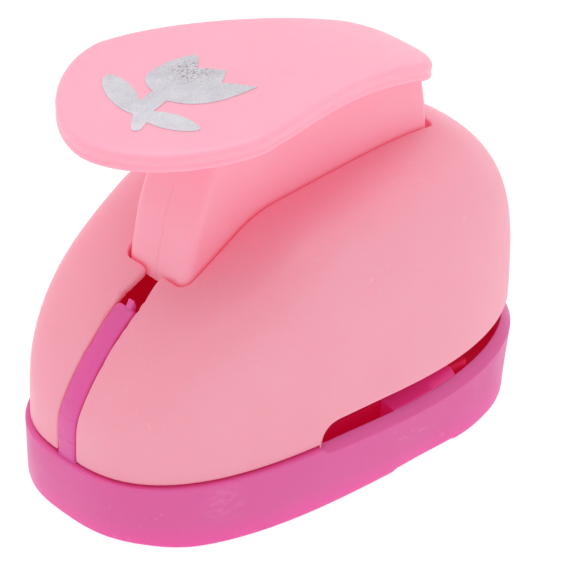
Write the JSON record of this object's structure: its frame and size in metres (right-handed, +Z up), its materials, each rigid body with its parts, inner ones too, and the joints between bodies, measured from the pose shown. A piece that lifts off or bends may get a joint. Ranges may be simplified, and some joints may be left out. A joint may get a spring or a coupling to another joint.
{
  "type": "craft punch",
  "caption": "Thumb-lever paper punch with a domed two-part plastic body, an arched pad with a foil flower, a side-entry paper slot and a sprung metal die set.",
  "frame": {"origin": "middle of the base's footprint, on the surface it stands on", "axes": "+X along the length towards the hinge and the paper slot, -X towards the thumb end, +Y across the narrow width, +Z up"},
  "size_m": [0.072, 0.0382, 0.054],
  "materials": {
    "base_plastic": "semi-gloss moulded plastic, magenta",
    "cover_plastic": "satin moulded plastic with a fine grain, pink",
    "lever_plastic": "smooth moulded plastic, lighter pink",
    "foil": "matt silver hot-stamped foil",
    "steel": "ground steel",
    "spring_steel": "drawn spring wire",
    "screw_steel": "zinc-plated steel",
    "die_metal": "pressed and ground die metal"
  },
  "bodies": {
    "housing": {"base": "base_plastic", "cover": "cover_plastic", "hinge_pin": "steel", "die_plate": "die_metal", "throat_spacer": "die_metal", "guide_plate": "die_metal", "guide_bolt_left": "steel", "guide_bolt_right": "steel", "return_spring_left": "spring_steel", "return_spring_right": "spring_steel", "frame_screw_left": "screw_steel", "frame_screw_right": "screw_steel", "die_screw_left": "screw_steel", "die_screw_right": "screw_steel", "cover_screw_left": "screw_steel", "cover_screw_right": "screw_steel"},
    "lever": {"lever": "lever_plastic", "foil_motif": "foil"},
    "punch": {"punch": "steel", "punch_carrier": "die_metal", "punch_screw_left": "screw_steel", "punch_screw_right": "screw_steel"}
  },
  "joints": [
    {"name": "lever_pivot", "type": "hinge", "parent": "housing", "child": "lever", "pos_m": [0.023, 0, 0.027], "axis": [0, -1, 0], "range_deg": [0, 16], "stiffness_Nm_per_rad": 0.5, "springref_deg": -11.46},
    {"name": "punch_slide", "type": "slide", "parent": "housing", "child": "punch", "axis": [0, 0, -1], "range_m": [0, 0.0042], "stiffness_N_per_m": 20, "springref_m": -0.01, "deforming": ["return_spring_left", "return_spring_right"]}
  ],
  "couplings": [
    {"joint": "punch_slide", "follows": "lever_pivot", "m_per_rad": 0.0148}
  ]
}
